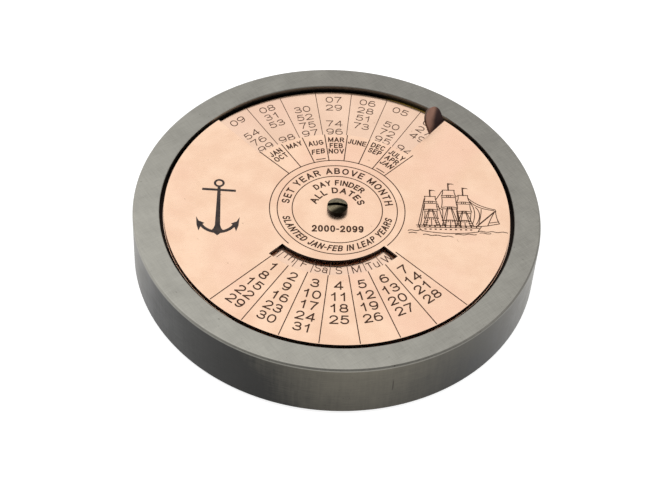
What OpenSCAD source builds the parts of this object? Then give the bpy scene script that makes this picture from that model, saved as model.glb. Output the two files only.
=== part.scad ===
// Round desk calendar for the years 2000 to 2099: a turned brass case, a fixed disc
// of years and weekdays, and over it a dial plate with two windows that is turned by
// a bent-up finger tab. A slotted screw holds the stack to the case.
// Millimetres. The origin is the centre of the felt's underside, +Z is up, and +Y
// points from the screw towards the year window of the dial plate at rest.

/* [Case] */
// Outside radius of the turned case.
case_radius = 37.5; // [36:0.1:39]
// Height of the brass case, from its underside to the rim.
case_height = 11.9; // [10:0.1:14]
// Radius of the shallow round recess that holds the two dials.
recess_radius = 32.6; // [32.4:0.1:33.4]
// Chamfer on the rim's outer edge.
rim_outer_chamfer = 0.4; // [0.1:0.1:1]
// Chamfer on the rim's inner edge.
rim_inner_chamfer = 0.2; // [0.1:0.1:0.5]
// Chamfer on the case's lower edge.
foot_chamfer = 0.5; // [0.1:0.1:1]

/* [Felt] */
// Radius of the felt pad under the case.
felt_radius = 34.5; // [30:0.1:35]
// Thickness of the felt pad.
felt_thickness = 1.0; // [0.8:0.1:1.5]
// How far the felt stands below the brass.
felt_proud = 0.4; // [0.2:0.1:0.7]
// Room around the felt in its recess.
felt_side_gap = 0.3; // [0.1:0.1:0.6]

/* [Discs] */
// Thickness of the copper sheet that both discs are cut from.
sheet_thickness = 0.5; // [0.4:0.05:0.6]
// How far the dial plate's top lies below the rim.
plate_sink = 0.2; // [0.1:0.05:0.5]
// Clear height between the year disc and the dial plate.
disc_gap = 0.45; // [0.35:0.05:0.6]
// Radius of the fixed year disc.
year_disc_radius = 32.0; // [31:0.1:32.2]
// Radius of the turning dial plate.
plate_radius = 31.85; // [31.5:0.05:32.1]

/* [Year window] */
// Distance from the screw down to the point where the window's two sides would meet.
year_apex_drop = 2.0; // [0:0.1:3]
// Radius of the window's inner edge, about that point.
year_window_inner = 21.4; // [20.5:0.1:22]
// Direction of the window's right side, anticlockwise from +X.
year_window_start = 51; // [48:0.5:54]
// Direction of the window's left side.
year_window_end = 132.5; // [129:0.5:135]

/* [Day window] */
// Sideways offset of the day window, which is stamped a little off centre.
day_window_shift_x = -0.85; // [-1:0.05:0]
// Offset of the day window along the dial.
day_window_shift_y = 0.4; // [0:0.05:0.6]
// Radius of the day window's inner edge.
day_window_inner = 13.0; // [12.8:0.1:13.4]
// Radius of the day window's outer edge.
day_window_outer = 16.4; // [16:0.1:16.8]
// Half of the angle that the day window spans.
day_window_half_angle = 45; // [40:1:46]

/* [Finger tab] */
// Distance of the tab's inner end from the year window's apex.
tab_start = 28.7; // [28:0.1:29.5]
// Width of the tab along the window's side.
tab_width = 4.5; // [3.5:0.1:4.6]
// Length of the tab from its bend to its rounded end.
tab_length = 4.5; // [3:0.1:6]
// Lean of the tab from upright, over the window.
tab_lean = 30; // [0:1:45]

/* [Pivot] */
// Radius of the bush that the dial plate turns on.
bush_radius = 1.6; // [1.5:0.05:1.8]
// Running clearance between the bush and the plate's hole, on the radius.
bush_clearance = 0.04; // [0.02:0.01:0.08]
// Radius of the bush's flange under the plate.
bush_flange_radius = 4.5; // [3.5:0.1:6]
// Thickness of the bush's flange.
bush_flange_thickness = 0.18; // [0.15:0.01:0.25]
// Height of the bush above the plate, so that the screw doesn't clamp the plate.
bush_stand = 0.06; // [0.03:0.01:0.1]
// Outside radius of the dished spring washer.
washer_radius = 4.2; // [3:0.1:6]
// Thickness of the spring washer's metal.
washer_metal = 0.1; // [0.08:0.01:0.15]
// Room left over the washer and under the plate.
washer_top_gap = 0.03; // [0.02:0.01:0.05]

/* [Screw] */
// Radius of the screw's threaded shank.
screw_radius = 1.0; // [0.9:0.05:1.2]
// Length of the screw below its head.
screw_length = 7.5; // [5:0.5:9]
// Radius of the screw's head.
head_radius = 1.9; // [1.8:0.05:2.2]
// Height of the head at its edge.
head_edge_height = 0.85; // [0.6:0.05:1.2]
// Height of the head at its crown.
head_crown_height = 1.35; // [1.1:0.05:1.6]
// Width of the screwdriver slot.
slot_width = 0.7; // [0.5:0.05:0.8]
// Depth of the slot from the crown.
slot_depth = 0.75; // [0.4:0.05:0.8]
// Direction of the slot, anticlockwise from +X.
slot_turn = -4; // [-90:1:90]

/* [Locating pin] */
// Radius of the pin that keeps the year disc from turning.
pin_radius = 0.75; // [0.5:0.05:1]
// Distance of the pin from the screw.
pin_offset = 8.0; // [6:0.1:9]
// Length of the pin.
pin_length = 4.0; // [3:0.1:6]

/* [Hidden] */
$fn = 180;
case_top = felt_proud + case_height;
plate_top = case_top - plate_sink;
plate_bottom = plate_top - sheet_thickness;
disc_top = plate_bottom - disc_gap;
floor_z = disc_top - sheet_thickness;
fit_gap = 0.02;
disc_hole_gap = 0.05;
screw_seat = plate_top + bush_stand;
screw_hole_spare = 0.8;
dome_rise = head_crown_height - head_edge_height;
dome_radius = (head_radius * head_radius + dome_rise * dome_rise) / (2 * dome_rise);
tab_pitch = 90 - tab_lean;
cut = 1;
far = 80;

// A flat wedge from the point [x, y], between two directions less than 180 degrees apart.
module wedge(x, y, from, to, low, high) {
    middle = (from + to) / 2;
    translate([x, y, low])
        linear_extrude(height = high - low)
            polygon([[0, 0],
                     [far * cos(from), far * sin(from)],
                     [far * cos(middle) * 1.5, far * sin(middle) * 1.5],
                     [far * cos(to), far * sin(to)]]);
}

// The opening over the years: cut through the plate from its inner arc to its edge.
module year_window() {
    difference() {
        wedge(0, -year_apex_drop, year_window_start, year_window_end,
              plate_bottom - cut, plate_top + cut);
        translate([0, -year_apex_drop, plate_bottom - 2 * cut])
            cylinder(r = year_window_inner, h = sheet_thickness + 4 * cut);
    }
}

// The curved slot over the weekdays.
module day_window() {
    intersection() {
        translate([day_window_shift_x, day_window_shift_y, plate_bottom - cut])
            difference() {
                cylinder(r = day_window_outer, h = sheet_thickness + 2 * cut);
                translate([0, 0, -cut])
                    cylinder(r = day_window_inner, h = sheet_thickness + 4 * cut);
            }
        wedge(day_window_shift_x, day_window_shift_y,
              270 - day_window_half_angle, 270 + day_window_half_angle,
              plate_bottom - 2 * cut, plate_top + 2 * cut);
    }
}

// The rounded tongue: X along the window's side, Z up the tongue, round bend at its foot.
module finger_tab() {
    half = tab_width / 2;
    translate([0, -year_apex_drop, plate_top - sheet_thickness / 2])
        rotate([0, 0, year_window_start])
            translate([tab_start, 0, 0]) {
                rotate([0, 90, 0])
                    cylinder(r = sheet_thickness / 2, h = tab_width);
                rotate([tab_pitch, 0, 0])
                    translate([0, 0, -sheet_thickness / 2]) {
                        cube([tab_width, tab_length - half, sheet_thickness]);
                        translate([half, tab_length - half, 0])
                            cylinder(r = half, h = sheet_thickness);
                    }
            }
}

// Turned brass body with the dial recess above and the felt recess below.
module case() {
    color([0.50, 0.49, 0.46])
        difference() {
            rotate_extrude()
                polygon([[0, felt_thickness],
                         [felt_radius + felt_side_gap, felt_thickness],
                         [felt_radius + felt_side_gap, felt_proud],
                         [case_radius - foot_chamfer, felt_proud],
                         [case_radius, felt_proud + foot_chamfer],
                         [case_radius, case_top - rim_outer_chamfer],
                         [case_radius - rim_outer_chamfer, case_top],
                         [recess_radius + rim_inner_chamfer, case_top],
                         [recess_radius, case_top - rim_inner_chamfer],
                         [recess_radius, floor_z],
                         [0, floor_z]]);
            translate([0, 0, screw_seat - screw_length - screw_hole_spare])
                cylinder(r = screw_radius + fit_gap, h = screw_length + cut);
            translate([0, pin_offset, disc_top - pin_length - fit_gap])
                cylinder(r = pin_radius + fit_gap, h = pin_length + cut);
        }
}

// Felt pad glued into the case's underside.
module felt_pad() {
    color([0.16, 0.15, 0.15])
        cylinder(r = felt_radius, h = felt_thickness);
}

// Fixed copper disc that carries the years and the weekdays.
module year_disc() {
    color([0.90, 0.76, 0.68])
        difference() {
            translate([0, 0, floor_z])
                cylinder(r = year_disc_radius, h = sheet_thickness);
            translate([0, 0, floor_z - cut])
                cylinder(r = screw_radius + disc_hole_gap, h = sheet_thickness + 2 * cut);
            translate([0, pin_offset, floor_z - cut])
                cylinder(r = pin_radius + disc_hole_gap, h = sheet_thickness + 2 * cut);
        }
}

// Short pin in the case floor. It keys the year disc and always stays under the plate.
module locating_pin() {
    color([0.72, 0.58, 0.32])
        translate([0, pin_offset, disc_top - pin_length])
            cylinder(r = pin_radius, h = pin_length);
}

// Flanged bush that the dial plate turns on.
module pivot_bush() {
    color([0.72, 0.58, 0.32])
        difference() {
            union() {
                translate([0, 0, disc_top])
                    cylinder(r = bush_flange_radius, h = bush_flange_thickness);
                translate([0, 0, disc_top])
                    cylinder(r = bush_radius, h = screw_seat - disc_top);
            }
            translate([0, 0, disc_top - cut])
                cylinder(r = screw_radius + fit_gap, h = screw_seat - disc_top + 2 * cut);
        }
}

// Dished washer between the bush's flange and the plate, which gives the plate its drag.
module spring_washer() {
    bore = bush_radius + disc_hole_gap;
    low = disc_top + bush_flange_thickness;
    high = plate_bottom - washer_top_gap;
    color([0.62, 0.62, 0.64])
        rotate_extrude()
            polygon([[washer_radius, low],
                     [washer_radius, low + washer_metal],
                     [bore, high],
                     [bore, high - washer_metal]]);
}

// Turning copper plate with both windows and the finger tab.
module dial_plate() {
    color([0.93, 0.78, 0.68]) {
        difference() {
            translate([0, 0, plate_bottom])
                cylinder(r = plate_radius, h = sheet_thickness);
            translate([0, 0, plate_bottom - cut])
                cylinder(r = bush_radius + bush_clearance, h = sheet_thickness + 2 * cut);
            year_window();
            day_window();
        }
        finger_tab();
    }
}

// Slotted screw with a domed head. It clamps the bush and the year disc to the case.
module pivot_screw() {
    color([0.45, 0.40, 0.30])
        difference() {
            union() {
                translate([0, 0, screw_seat - screw_length])
                    cylinder(r = screw_radius, h = screw_length + head_edge_height / 2);
                intersection() {
                    translate([0, 0, screw_seat])
                        cylinder(r = head_radius, h = head_crown_height);
                    translate([0, 0, screw_seat + head_crown_height - dome_radius])
                        sphere(r = dome_radius);
                }
            }
            rotate([0, 0, slot_turn])
                translate([-head_radius - cut, -slot_width / 2,
                           screw_seat + head_crown_height - slot_depth])
                    cube([2 * (head_radius + cut), slot_width, slot_depth + cut]);
        }
}

case();
felt_pad();
year_disc();
locating_pin();
pivot_bush();
spring_washer();
dial_plate();
pivot_screw();
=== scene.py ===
import bmesh
import bpy
import math
import numpy as np
from functools import partialmethod
from mathutils import Matrix, Vector


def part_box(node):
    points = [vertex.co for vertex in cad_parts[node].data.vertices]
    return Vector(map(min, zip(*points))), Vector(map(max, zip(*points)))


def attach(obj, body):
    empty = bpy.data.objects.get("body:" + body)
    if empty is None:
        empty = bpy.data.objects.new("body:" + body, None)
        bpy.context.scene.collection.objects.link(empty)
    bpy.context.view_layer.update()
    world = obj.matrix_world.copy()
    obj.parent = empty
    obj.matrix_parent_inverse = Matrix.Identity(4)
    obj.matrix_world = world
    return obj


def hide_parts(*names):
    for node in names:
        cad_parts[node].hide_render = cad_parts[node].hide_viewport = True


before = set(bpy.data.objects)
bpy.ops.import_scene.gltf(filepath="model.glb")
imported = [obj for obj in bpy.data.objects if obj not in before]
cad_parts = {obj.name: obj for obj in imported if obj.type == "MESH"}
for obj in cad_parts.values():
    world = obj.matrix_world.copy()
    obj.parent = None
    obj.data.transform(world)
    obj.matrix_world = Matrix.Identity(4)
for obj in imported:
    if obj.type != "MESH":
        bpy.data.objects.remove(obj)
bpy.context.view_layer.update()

mm = 0.001

# Heights and radii that the pieces share, read from the frame, in metres
caseLow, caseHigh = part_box("case")
discLow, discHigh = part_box("year_disc")
plateLow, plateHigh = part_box("dial_plate")
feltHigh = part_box("felt_pad")[1]
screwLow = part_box("pivot_screw")[0]
bushLow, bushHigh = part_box("pivot_bush")
washerLow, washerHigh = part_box("spring_washer")
pinLow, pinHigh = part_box("locating_pin")
caseRadius = caseHigh[0]
caseTop = caseHigh[2]
sheet = discHigh[2] - discLow[2]
discTop = discHigh[2]
discRadius = discHigh[0]
plateBottom = plateLow[2]
plateTop = plateBottom + sheet
plateRadius = plateHigh[0]
print("frame loaded: case radius %.2f mm, rim at %.2f mm" % (caseRadius / mm, caseTop / mm))


def addObject(name, data):
    made = bpy.data.objects.new(name, data)
    bpy.context.scene.collection.objects.link(made)
    return made


# camera, at the angle the calendar is seen from

view = {
    "eye": (-14.8, -221.75, 239.51),    # mm, the height is counted from the rim
    "pitch": 48.26,                     # degrees down
    "yaw": 3.22,                        # degrees to the right of +Y
    "roll": 3.757,
    "lens": 99.23,
    "sensor": 36.0,
    "near": 0.01, "far": 20,            # metres
}


def addCamera():
    # three turned axes in the world give the camera's matrix straight away
    pitch, yaw, roll = (math.radians(view[k]) for k in ("pitch", "yaw", "roll"))
    ahead = Vector((math.sin(yaw) * math.cos(pitch), math.cos(yaw) * math.cos(pitch), -math.sin(pitch)))
    level = Vector((math.cos(yaw), -math.sin(yaw), 0))
    up = level.cross(ahead)
    right = math.cos(roll) * level + math.sin(roll) * up
    top = -math.sin(roll) * level + math.cos(roll) * up
    data = bpy.data.cameras.new("camera")
    data.lens = view["lens"]
    data.sensor_width = view["sensor"]
    data.sensor_fit = "HORIZONTAL"
    data.clip_start = view["near"]
    data.clip_end = view["far"]
    camera = addObject("camera", data)
    turned = Matrix((right, top, -ahead)).transposed().to_4x4()
    x, y, z = view["eye"]
    camera.matrix_world = Matrix.Translation((x * mm, y * mm, z * mm + caseTop)) @ turned
    bpy.context.scene.camera = camera


addCamera()
print("camera set")


# shader helpers

class Value:
    # a socket that takes part in Python sums: each operator adds one Math node; the plain
    # operators are set below the class
    def __init__(self, finish, socket):
        self.finish = finish
        self.socket = socket

    def combine(self, operation, *others):
        return self.finish.node("Math", {"operation": operation}, dict(enumerate((self,) + others)))

    def __rsub__(self, other):
        return self.finish.node("Math", {"operation": "SUBTRACT"}, {0: other, 1: self})

    def above(self, edge, soft):
        # 0 below the edge and 1 above it, over a soft band
        return self.finish.node("MapRange", {"interpolation_type": "SMOOTHSTEP", "clamp": True},
                                {"Value": self, "From Min": edge - soft, "From Max": edge + soft})


for operator, operation in (("add", "ADD"), ("radd", "ADD"), ("mul", "MULTIPLY"), ("rmul", "MULTIPLY"),
                            ("sub", "SUBTRACT"), ("truediv", "DIVIDE"), ("pow", "POWER")):
    setattr(Value, "__%s__" % operator, partialmethod(Value.combine, operation))


class Finish:
    # the nodes of one material, or of the sky: fixed numbers go straight on the shader
    def __init__(self, name, kind="BsdfPrincipled", owners=None, **fixed):
        self.material = (bpy.data.materials if owners is None else owners).new(name)
        self.material.use_nodes = True
        self.tree = self.material.node_tree
        self.tree.nodes.clear()
        self.shader = self.tree.nodes.new("ShaderNode" + kind)
        output = self.tree.nodes.new("ShaderNodeOutput" + ("Material" if owners is None else "World"))
        self.tree.links.new(self.shader.outputs[0], output.inputs["Surface"])
        for socket, value in fixed.items():
            self.shader.inputs[socket.replace("_", " ")].default_value = value

    def node(self, kind, settings, inputs, output=0):
        made = self.tree.nodes.new("ShaderNode" + kind)
        for key, value in settings.items():
            setattr(made, key, value)
        for key, value in inputs.items():
            self.join(made.inputs[key], value)
        return Value(self, made.outputs[output])

    def join(self, socket, value):
        if isinstance(value, Value):
            self.tree.links.new(value.socket, socket)
        else:
            socket.default_value = value

    def feed(self, **inputs):
        for key, value in inputs.items():
            self.join(self.shader.inputs[key.replace("_", " ")], value)

    def place(self):
        return self.node("TexCoord", {}, {}, "Object")

    def normal(self):
        return self.axes(self.node("TexCoord", {}, {}, "Normal"))

    def axes(self, place):
        split = self.node("SeparateXYZ", {}, {0: place})
        outs = split.socket.node.outputs
        return [Value(self, outs[k]) for k in range(3)]

    def vector(self, x, y, z):
        return self.node("CombineXYZ", {}, {0: x, 1: y, 2: z})

    def noise(self, place, scale, detail=3.0, rough=0.55, stretch=0.0):
        return self.node("TexNoise", {}, {"Vector": place, "Scale": scale, "Detail": detail,
                                          "Roughness": rough, "Distortion": stretch})

    def lines(self, x, y, z, detail=3.0, rough=0.6):
        # noise drawn out into lines, where one axis is scaled more than the others
        return self.noise(self.vector(x, y, z), 1.0, detail, rough)

    def blend(self, mask, first, second):
        made = self.tree.nodes.new("ShaderNodeMix")
        made.data_type = "RGBA"
        self.join(made.inputs["Factor"], mask)
        for key, colour in ((6, first), (7, second)):
            self.join(made.inputs[key], colour if isinstance(colour, Value) else (*colour, 1))
        return Value(self, made.outputs[2])

    def bump(self, height, strength, distance):
        return self.node("Bump", {}, {"Height": height, "Strength": strength, "Distance": distance})


# the openings cut in the dial plate and the tab bent up from it, in mm and degrees
windows = {"apex": (0.0, -2.0), "inner": 21.4, "start": 51.0, "end": 132.5,
           "dayCentre": (-0.85, 0.4), "dayInner": 13.0, "dayOuter": 16.4, "dayHalf": 45.0,
           "boreRadius": 1.64, "discBore": 1.05, "pinBore": 0.80, "pinPlace": (0.0, 8.0),
           "fineness": {"edge": 260, "year": 72, "day": 56, "bore": 48,
                        "disc": 256, "discBore": 40, "pin": 32}}     # points on each curve
tab = {"start": 28.7, "width": 4.5, "length": 4.49, "lean": 30.0, "bend": 0.35, "root": 0.25,
       "inset": 0.006,          # each face lies this far inside the sheet's, so that none coincide
       "bevel": 0.10, "columns": 15, "rows": (3, 9, 34)}


# finishes

gunmetal = {
    "rim": (0.430, 0.418, 0.372),
    "rimDark": (0.235, 0.226, 0.202),
    "wall": (0.155, 0.142, 0.112),
    "wallDark": (0.023, 0.0225, 0.021),
    # painted shade deep in the recess
    "gap": (0.016, 0.011, 0.009),
    "recessWall": (0.190, 0.182, 0.160),
    "bareBrass": (0.60, 0.47, 0.18),
    "speck": (0.030, 0.026, 0.022),
    "roughness": 0.38,
    "brushed": (0.83, 0.56),    # direction of the brush on the rim
    "hatch": 5200.0,        # brush strokes per metre across their run
    "run": 260.0,           # and along it
    "rings": 4200.0,        # turning marks per metre up the wall
    "rimShade": (0.75, 0.66),     # the rim is painted darker towards here, as painted shade
    "arrisShade": (0.259, -0.966),    # the wall's upper arris is painted darkest here, as painted shade
    "brassShows": (0.515, 0.857),   # where the recess floor keeps its brass colour, under the tab
    "recessMargin": 4.55,   # mm from the case's edge to where the recess finish starts
    "wallShades": ((228.0, 6.0, 1.05), (312.0, 10.0, 0.62)),    # painted shade on the wall: direction, narrowness, depth
    "nick": (284.5, 0.10, 5.6, 8.2),    # a short scratch: direction, half width, from and to heights
}


def unit(degrees):
    return np.array([math.cos(math.radians(degrees)), math.sin(math.radians(degrees))])


def along(x, y, direction):
    return x * direction[0] + y * direction[1]


def gunmetalFinish():
    # dark patina over turned brass: the rim is cross brushed and the wall darker and mottled, both with
    # painted shade
    #  towards some sides; the recess is painted nearly black as painted shade, with its brass colour
    #  showing under the tab
    g = gunmetal
    f = Finish("gunmetalPatina", Metallic=1.0)
    place = f.place()
    x, y, z = f.axes(place)
    radius = (x * x + y * y) ** 0.5
    top = float(caseTop)
    # noises, from brush strokes down to specks
    east, north = g["brushed"]
    across, ahead = x * east + y * north, y * east - x * north
    strokes = f.lines(across * g["hatch"], ahead * g["run"], z)
    crossed = f.lines(across * g["run"], ahead * g["hatch"], z)
    brush = strokes * 0.5 + crossed * 0.5
    marks = f.lines(x * 300.0, y * 300.0, z * g["rings"])
    streaks = f.lines(x * 1500.0, y * 1500.0, z * 130.0)
    mottle = f.noise(place, 260.0, 5.0, 0.62)
    specks = f.noise(place, 1700.0, 2.0, 0.5).above(0.73, 0.05)
    broad = f.noise(f.vector(x + 0.021, y - 0.013, 0.0), 24.0, 1.0, 0.4)
    # painted shade on the rim, on the wall and on its upper arris, and a scratch
    rimShade = 0.5 - along(x, y, g["rimShade"]) / (2.0 * float(caseRadius))
    # painted shade on the wall, darkest towards two directions at the front
    wallShade = 0.0
    for direction, narrowness, depth in g["wallShades"]:
        facing = (along(x, y, unit(direction)) / radius).combine("MAXIMUM", 0.0)
        wallShade = facing ** narrowness * depth + wallShade
    nx, ny, nz = f.normal()
    # patina darkens the upper arris all round; painted shade makes it darkest on the near side
    arrisShade = (along(x, y, g["arrisShade"]) / radius).above(0.45, 0.45)
    arris = nz.above(0.22, 0.12) * (1.0 - nz.above(0.94, 0.03))
    arris = arris * (0.35 + broad * 0.5) * (arrisShade * 0.9 + 0.25)
    direction, halfWidth, low, high = g["nick"]
    a = math.radians(direction)
    beside = x * math.sin(a) - y * math.cos(a) + (mottle - 0.5) * 0.5 * mm
    nick = 1.0 - beside.combine("ABSOLUTE").above(halfWidth * mm, 0.08 * mm)
    nick = nick * z.above(low * mm, 0.5 * mm) * (1.0 - z.above(high * mm, 0.6 * mm))
    nick = nick * (y / radius * -1.0).above(0.0, 0.1)
    # the zones: rim, outer wall, and inside the recess
    # the rim's colour carries painted shade, darker towards one side
    rim = f.blend(brush * 1.3 + mottle * 0.7 + broad * 0.5 + rimShade * 0.7 - 1.15, g["rimDark"], g["rim"])
    # painted shade: the wall is darker towards its foot
    down = (top - z) / top
    tone = broad * 0.3 + marks * 0.34 + streaks * 0.30 + mottle * 0.30 - down * 0.32 - wallShade + 0.26
    wall = f.blend(tone, g["wallDark"], g["wall"])
    onRim = z.above(top - 0.42 * mm, 0.25 * mm)
    belowRim = 1.0 - z.above(top - 0.2 * mm, 0.08 * mm)
    inside = (float(caseRadius) - g["recessMargin"] * mm - radius).above(0.0, 0.08 * mm) * belowRim
    byTab = (along(x, y, g["brassShows"]) / radius).above(0.977, 0.015)
    onFloor = 1.0 - z.above(float(discLow[2]) + 0.12 * mm, 0.08 * mm)
    # painted shade: the recess is darker downwards, near black at its floor
    fade = z.above(top - 0.95 * mm, 0.75 * mm)
    gap = f.blend(byTab * 0.9 * onFloor, f.blend(fade, g["gap"], g["recessWall"]), g["bareBrass"])
    # the speck colour also paints the arris's shade
    shell = f.blend(specks * 0.35 + nick * 0.8 + arris * 0.75, f.blend(onRim, wall, rim), g["speck"])
    relief = brush * onRim + (marks * 0.6 + streaks * 0.4) * (1.0 - onRim)
    f.feed(Base_Color=f.blend(inside, shell, gap),
           Roughness=g["roughness"] + (relief - 0.5) * 0.30 + (mottle - 0.5) * 0.14,
           Normal=f.bump(relief, 0.22, 0.00003))
    return f.material


copper = {
    "grain": 2600.0,        # rolling marks per metre across the grain
    "speck": (0.50, 0.32, 0.22),
    "cutEdgeShade": (0.010, 0.006, 0.005),
    "plate": ((0.915, 0.615, 0.435), (0.985, 0.695, 0.505), (0.93, 0.590, 0.440), 0.27),
    "disc": ((0.87, 0.605, 0.448), (0.94, 0.665, 0.500), (0.88, 0.590, 0.455), 0.17),
}


def copperFinish(name, colour, pale, blush, roughness):
    # lacquered sheet: clouds and a faint blush, fine rolling grain, a few specks, and cut edges painted
    # near black as painted shade
    f = Finish(name, Metallic=1.0, Coat_Weight=0.15, Coat_Roughness=0.2)
    place = f.place()
    x, y, z = f.axes(place)
    clouds = f.noise(place, 170.0, 4.0, 0.6)
    patches = f.noise(f.vector(x * 1.2, y - 0.02, 0.0), 55.0, 2.0, 0.5)
    grain = f.lines(x * 200.0, y * copper["grain"], z)
    specks = f.noise(place, 900.0, 2.0, 0.5).above(0.745, 0.02)
    scratch = f.lines(x * 60.0, y * 1500.0 + x * 330.0, 0.0, 1.0, 0.5).above(0.80, 0.02)
    shade = f.blend(clouds.above(0.5, 0.18), colour, pale)
    shade = f.blend(patches.above(0.56, 0.12) * 0.55, shade, blush)
    shade = f.blend(specks * 0.55 + scratch * 0.3, shade, copper["speck"])
    nx, ny, nz = f.normal()
    # the cut edges are painted near black: painted shade for the dark bands at the windows and round the
    # plate
    edge = 1.0 - nz.combine("ABSOLUTE").above(0.55, 0.2)
    f.feed(Base_Color=f.blend(edge, shade, copper["cutEdgeShade"]),
           Roughness=roughness + (clouds - 0.5) * 0.10 + (grain - 0.5) * 0.08,
           Normal=f.bump(grain, 0.08, 0.00001))
    return f.material


# the tab's painted shade and painted highlight colours, and the plate's copper at its root
tabShading = {
    "brown": ((0.180, 0.095, 0.068), (0.290, 0.160, 0.118)),
    "shade": (0.030, 0.016, 0.015),
    "side": (0.120, 0.074, 0.056),
    "arris": (0.72, 0.52, 0.41),
    "root": (0.95, 0.65, 0.47),
    "height": 3.6,          # mm, from the plate to about the tab's top
}


def tabFinish():
    # the same copper, painted brown and dark as painted shade, darkest towards its root and outer side;
    #  its cut sides are painted darker and its front arris carries a painted highlight
    f = Finish("shadedTabCopper", Metallic=1.0)
    place = f.place()
    x, y, z = f.axes(place)
    clouds = f.noise(place, 500.0, 4.0, 0.6)
    a, lift = math.radians(windows["start"]), math.radians(90 - tab["lean"])
    rise = (z - float(plateTop)) / (tabShading["height"] * mm)
    outward = (x * math.cos(a) + (y - windows["apex"][1] * mm) * math.sin(a)) / (tab["width"] * mm)
    outward = outward - tab["start"] / tab["width"]
    lit = (rise - outward * 0.9 + (clouds - 0.5) * 0.3).above(0.06, 0.26)
    nx, ny, nz = f.normal()
    level = along(nx, ny, (math.sin(a) * math.sin(lift), -math.cos(a) * math.sin(lift)))
    facing = level + nz * math.cos(lift)
    # painted shade on the cut sides
    side = 1.0 - facing.combine("ABSOLUTE").above(0.35, 0.2)
    # a painted highlight along the front arris
    arris = facing.above(0.35, 0.15) * (1.0 - facing.above(0.93, 0.04)) * rise.above(0.30, 0.12)
    root = (1.0 - rise.above(0.018, 0.014)) * (1.0 - side)
    face = f.blend(lit, tabShading["shade"], f.blend(clouds, *tabShading["brown"]))
    face = f.blend(arris, f.blend(side, face, tabShading["side"]), tabShading["arris"])
    f.feed(Base_Color=f.blend(root, face, tabShading["root"]), Roughness=0.24 + clouds * 0.14,
           Normal=f.bump(clouds, 0.10, 0.00002))
    return f.material


def etchFinish(name, dark, light):
    # dark filler left in the etched lines, a little uneven
    f = Finish(name, Metallic=0.0, Specular_IOR_Level=0.15)
    uneven = f.noise(f.place(), 900.0, 3.0, 0.6)
    f.feed(Base_Color=f.blend(uneven.above(0.5, 0.2), dark, light), Roughness=0.7 + uneven * 0.2)
    return f.material


def turnedFinish(name, dark, light, roughness, scale, shadeAmount=0.0):
    # turned or cut small metal parts, with fine rings about the axis and some tarnish;
    #  the last argument is how black the upright faces and the near side of the head are painted, as
    #  painted shade
    f = Finish(name, Metallic=1.0)
    x, y, z = f.axes(f.place())
    radius = (x * x + y * y) ** 0.5
    rings = f.lines(radius * scale, z * scale, 0.0, 2.0, 0.5)
    tarnish = f.noise(f.place(), 1500.0, 4.0, 0.65)
    nx, ny, nz = f.normal()
    # painted shade: the upright faces and the near side of the head are painted near black
    side = (1.0 - nz.combine("ABSOLUTE").above(0.5, 0.25)) * shadeAmount
    colour = f.blend(tarnish.above(0.5, 0.2), dark, light)
    nearSideShade = (along(x, y, (0.45, -0.89)) / mm + (tarnish - 0.5) * 1.2).above(0.75, 0.35) * (0.95 * shadeAmount)
    side = side.combine("MAXIMUM", nearSideShade)
    f.feed(Base_Color=f.blend(side, colour, tuple(0.1 * c for c in dark)),
           Roughness=roughness + (tarnish - 0.5) * 0.2,
           Normal=f.bump(rings, 0.15, 0.00001))
    return f.material


def feltFinish():
    # short pressed fibres: two scales of noise, and a sheen at the edges
    f = Finish("blackFelt", Sheen_Weight=0.6, Sheen_Roughness=0.5)
    fibres = f.noise(f.place(), 2600.0, 6.0, 0.75, 0.8)
    tufts = f.noise(f.place(), 500.0, 3.0, 0.6)
    f.feed(Base_Color=f.blend(fibres * 0.6 + tufts * 0.4, (0.012, 0.012, 0.013), (0.060, 0.058, 0.060)),
           Roughness=0.92, Normal=f.bump(fibres + tufts, 0.7, 0.0002))
    return f.material


finishes = {
    "case": gunmetalFinish(),
    "plate": copperFinish("polishedCopper", *copper["plate"]),
    "disc": copperFinish("discCopper", *copper["disc"]),
    "tab": tabFinish(),
    "etch": etchFinish("brownEtching", (0.052, 0.022, 0.011), (0.085, 0.042, 0.024)),
    "faintEtch": etchFinish("paleEtching", (0.105, 0.056, 0.036), (0.155, 0.088, 0.060)),
    "anchor": etchFinish("anchorEtching", (0.038, 0.030, 0.030), (0.070, 0.052, 0.045)),
    "screw": turnedFinish("agedBrass", (0.060, 0.049, 0.029), (0.27, 0.23, 0.150), 0.28, 9000.0, 1.0),
    "brass": turnedFinish("bareBrass", (0.55, 0.42, 0.20), (0.72, 0.56, 0.29), 0.25, 9000.0),
    "steel": turnedFinish("springSteel", (0.42, 0.42, 0.43), (0.58, 0.58, 0.60), 0.30, 6000.0),
    "felt": feltFinish(),
}
print("finishes made: %d" % len(finishes))


# mesh helpers

def newPiece(name, points, faces, finish, body, smooth=math.radians(35)):
    mesh = bpy.data.meshes.new(name)
    mesh.from_pydata(points, [], faces)
    mesh.update()
    mesh.validate()
    piece = addObject(name, mesh)
    settle(piece, finish, body, smooth)
    return piece


def settle(piece, finish, body, smooth):
    piece.data.materials.clear()
    piece.data.materials.append(finishes[finish])
    piece.data.shade_smooth()
    piece.data.set_sharp_from_angle(angle=smooth)
    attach(piece, body)


def gridFaces(rows, columns, wrapRows, wrapColumns):
    # quads between neighbouring rows and columns of a grid of points, as whole arrays
    i = np.arange(rows if wrapRows else rows - 1)[:, None]
    j = np.arange(columns if wrapColumns else columns - 1)[None, :]
    down, across = (i + 1) % rows, (j + 1) % columns
    corners = [i * columns + j, down * columns + j, down * columns + across, i * columns + across]
    return np.stack(corners, -1).reshape(-1, 4)


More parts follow.
